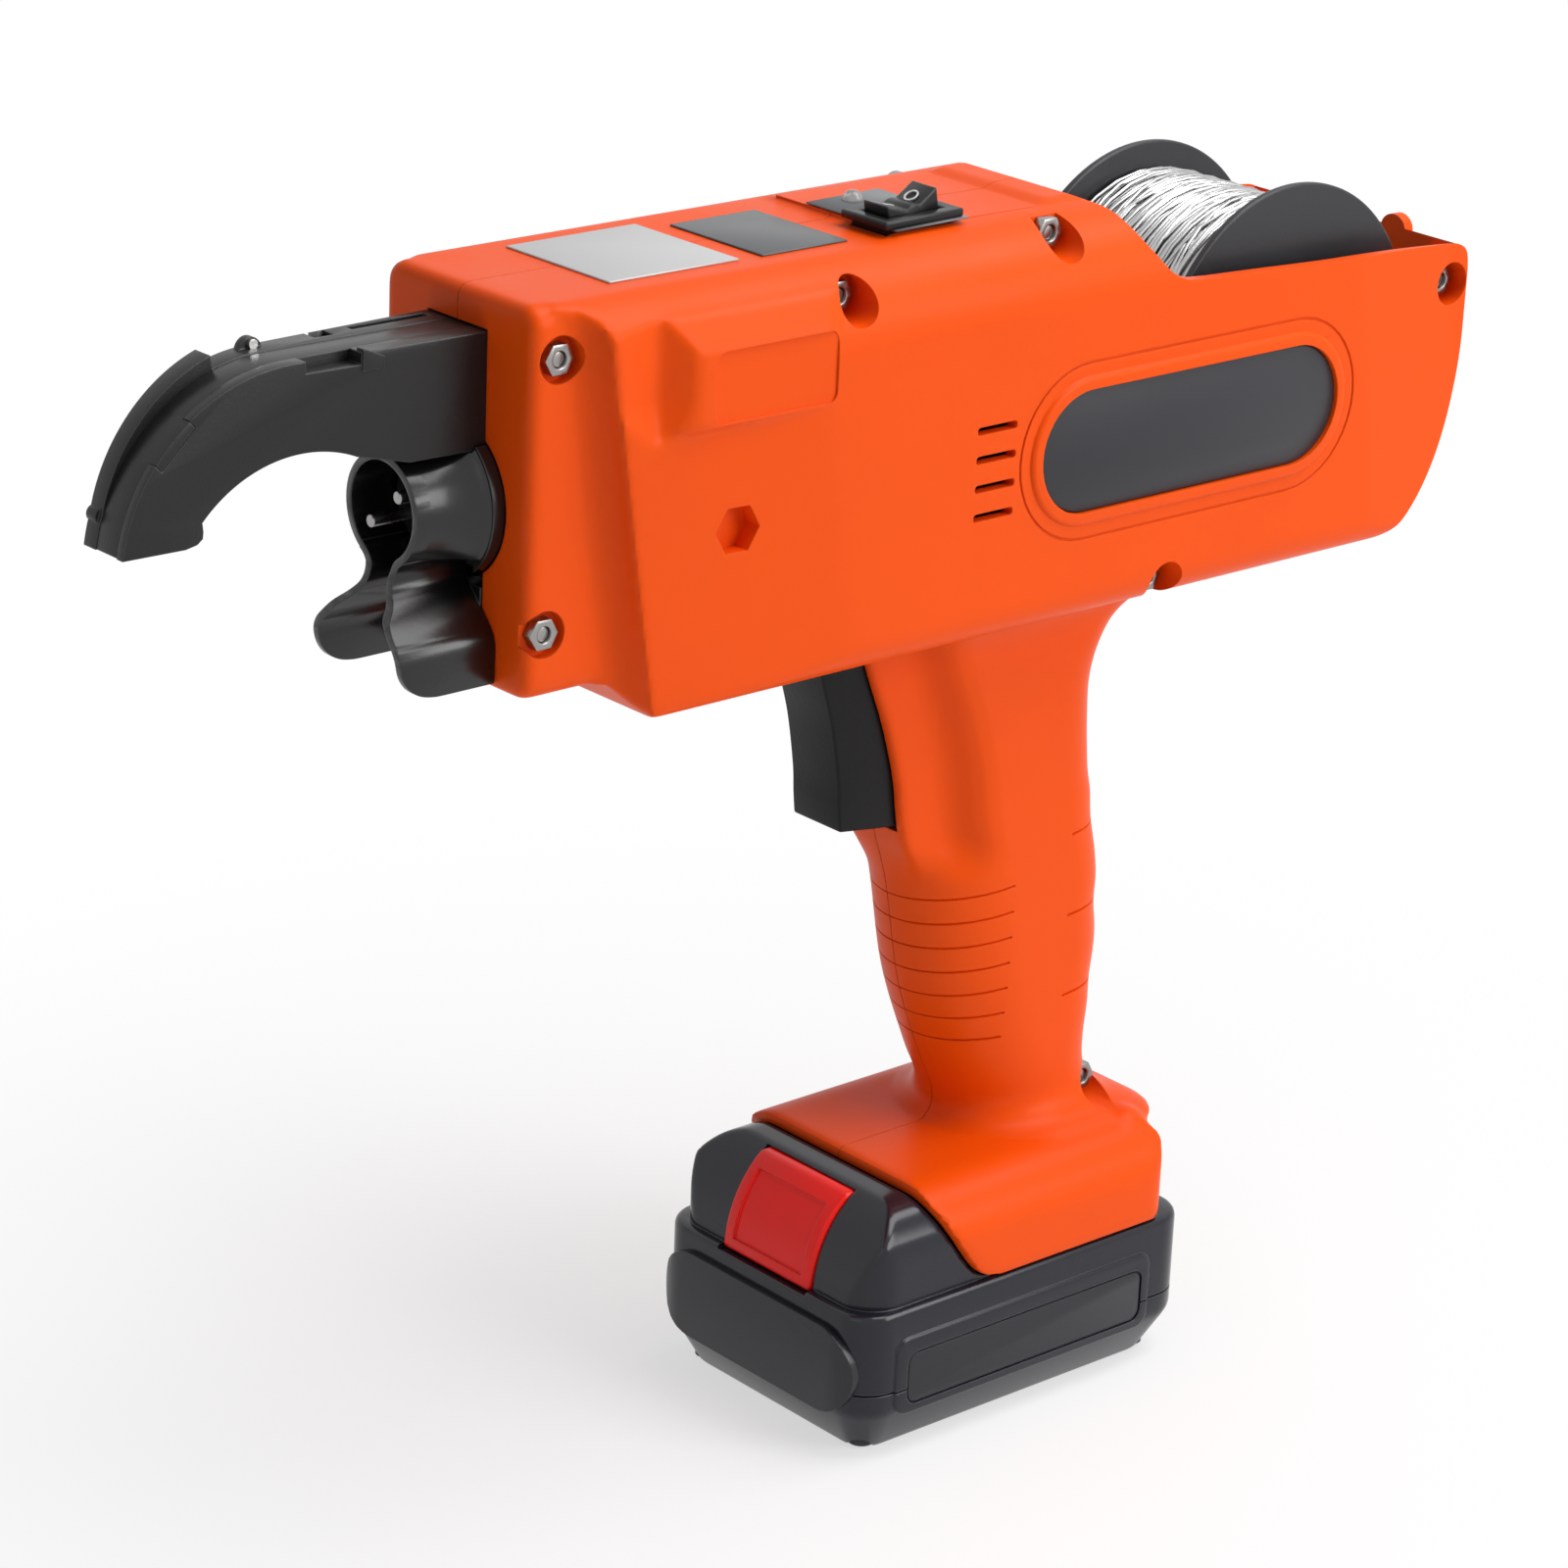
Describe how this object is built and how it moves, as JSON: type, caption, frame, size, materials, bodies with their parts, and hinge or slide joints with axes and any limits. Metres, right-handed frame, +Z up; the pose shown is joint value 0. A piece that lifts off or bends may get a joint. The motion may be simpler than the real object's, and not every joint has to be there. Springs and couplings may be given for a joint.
{
  "type": "rebar tying tool",
  "caption": "Cordless pistol-grip rebar tying tool with a hooked wire guide, wire mouth, twist drive, wire reel and slide-on battery.",
  "frame": {"origin": "middle of the battery's underside, on the floor", "axes": "+X forward to the wire guide, +Y to the tool's left, +Z up"},
  "size_m": [0.3069, 0.0646, 0.2522],
  "materials": {
    "orange_shell": "satin moulded",
    "fastener_steel": "zinc plated",
    "name_plate": "semi gloss",
    "silver_label": "silver printed film",
    "dark_label": "dark printed film",
    "film_grey": "smooth film",
    "black_plastic": "satin",
    "lamp_red": "clear dome",
    "jaw_black": "black oxide",
    "bright_steel": "machined",
    "gear_brass": "cut",
    "motor_case": "smooth",
    "board_green": "lacquered",
    "reel_grey": "moulded",
    "tie_wire": "galvanised",
    "battery_grey": "moulded gloss",
    "battery_label": "printed plate",
    "button_red": "moulded gloss",
    "cell_wrap": "shrink sleeve"
  },
  "bodies": {
    "housing": {"left_housing": "orange_shell", "right_housing": "orange_shell", "housing_bolts": "fastener_steel", "housing_nuts": "fastener_steel", "left_name_plate": "name_plate", "right_name_plate": "name_plate", "silver_plate": "silver_label", "dark_plate": "dark_label", "switch_film": "film_grey", "rocker_bezel": "black_plastic", "indicator_lamp": "lamp_red", "guide_left_plate": "jaw_black", "guide_right_plate": "jaw_black", "guide_liner": "jaw_black", "guide_pins": "bright_steel", "wire_mouth": "jaw_black", "barrel_flange": "jaw_black", "front_bearing": "bright_steel", "rear_bearing": "bright_steel", "ring_gear": "bright_steel", "twist_motor": "motor_case", "feed_frame": "bright_steel", "feed_motor": "motor_case", "drive_axle": "bright_steel", "lever_pin": "bright_steel", "lever_spring": "bright_steel", "inlet_tube": "bright_steel", "control_board": "board_green", "trigger_switch": "black_plastic", "trigger_spring": "bright_steel", "terminal_block": "black_plastic", "terminal_blades": "gear_brass", "reel_shaft": "bright_steel"},
    "twister": {"twist_head": "jaw_black", "twist_pins": "bright_steel", "twist_shaft": "bright_steel", "planet_carrier": "bright_steel"},
    "planet_1": {"planet_gear_1": "gear_brass"},
    "planet_2": {"planet_gear_2": "gear_brass"},
    "planet_3": {"planet_gear_3": "gear_brass"},
    "rotor": {"sun_gear": "bright_steel", "motor_shaft": "bright_steel"},
    "drive_wheel": {"drive_gear": "gear_brass"},
    "pinion": {"feed_pinion": "gear_brass"},
    "lever": {"pressure_lever": "bright_steel"},
    "driven_wheel": {"driven_gear": "gear_brass"},
    "trigger": {"trigger": "black_plastic"},
    "rocker": {"rocker_button": "black_plastic"},
    "reel": {"wire_reel": "reel_grey", "wire_coil": "tie_wire"},
    "battery": {"battery_lower_case": "battery_grey", "battery_upper_case": "battery_grey", "battery_front_plate": "battery_label", "battery_side_plates": "battery_label", "button_spring": "bright_steel", "battery_cells": "cell_wrap", "battery_screws": "fastener_steel"},
    "release_button": {"release_button": "button_red"}
  },
  "joints": [
    {"name": "twist_spin", "type": "hinge", "parent": "housing", "child": "twister", "pos_m": [0.1, 0, 0.2064], "axis": [1, 0, 0], "continuous": true},
    {"name": "rotor_spin", "type": "hinge", "parent": "housing", "child": "rotor", "pos_m": [0.06, 0, 0.2064], "axis": [1, 0, 0], "continuous": true},
    {"name": "drive_spin", "type": "hinge", "parent": "housing", "child": "drive_wheel", "pos_m": [0.1, 0.00905, 0.231], "axis": [0, 0, 1], "continuous": true},
    {"name": "pinion_spin", "type": "hinge", "parent": "housing", "child": "pinion", "pos_m": [0.08849, 0.0172, 0.231], "axis": [0, 0, 1], "continuous": true},
    {"name": "lever_swing", "type": "hinge", "parent": "housing", "child": "lever", "pos_m": [0.078, -0.00905, 0.223], "axis": [0, 0, 1], "range_deg": [-6, 0], "stiffness_Nm_per_rad": 2, "springref_deg": 6.88, "deforming": ["lever_spring"]},
    {"name": "driven_spin", "type": "hinge", "parent": "lever", "child": "driven_wheel", "pos_m": [0.1, -0.00905, 0.231], "axis": [0, 0, 1], "continuous": true},
    {"name": "trigger_pull", "type": "slide", "parent": "housing", "child": "trigger", "axis": [-1, 0, 0], "range_m": [0, 0.005], "stiffness_N_per_m": 600, "springref_m": -0.004, "deforming": ["trigger_spring"]},
    {"name": "rocker_tip", "type": "hinge", "parent": "housing", "child": "rocker", "pos_m": [0.031, 0.0113, 0.24661], "axis": [0, 1, 0], "range_deg": [-18, 0]},
    {"name": "reel_spin", "type": "hinge", "parent": "housing", "child": "reel", "pos_m": [-0.0638, 0, 0.208], "axis": [0, 1, 0], "continuous": true},
    {"name": "battery_slide", "type": "slide", "parent": "housing", "child": "battery", "axis": [1, 0, 0], "range_m": [0, 0.08]},
    {"name": "button_press", "type": "slide", "parent": "battery", "child": "release_button", "axis": [-1, 0, 0], "range_m": [0, 0.0025], "stiffness_N_per_m": 800, "springref_m": -0.002, "deforming": ["button_spring"]},
    {"name": "planet_1_spin", "type": "hinge", "parent": "twister", "child": "planet_1", "pos_m": [0.062, 0.012, 0.2064], "axis": [1, 0, 0], "continuous": true},
    {"name": "planet_2_spin", "type": "hinge", "parent": "twister", "child": "planet_2", "pos_m": [0.062, -0.006, 0.21679], "axis": [1, 0, 0], "continuous": true},
    {"name": "planet_3_spin", "type": "hinge", "parent": "twister", "child": "planet_3", "pos_m": [0.062, -0.006, 0.19601], "axis": [1, 0, 0], "continuous": true}
  ],
  "couplings": [
    {"joint": "rotor_spin", "follows": "twist_spin", "ratio": 4},
    {"joint": "planet_1_spin", "follows": "twist_spin", "ratio": -3},
    {"joint": "planet_2_spin", "follows": "twist_spin", "ratio": -3},
    {"joint": "planet_3_spin", "follows": "twist_spin", "ratio": -3},
    {"joint": "pinion_spin", "follows": "drive_spin", "ratio": -1.8},
    {"joint": "driven_spin", "follows": "drive_spin", "ratio": -1}
  ]
}
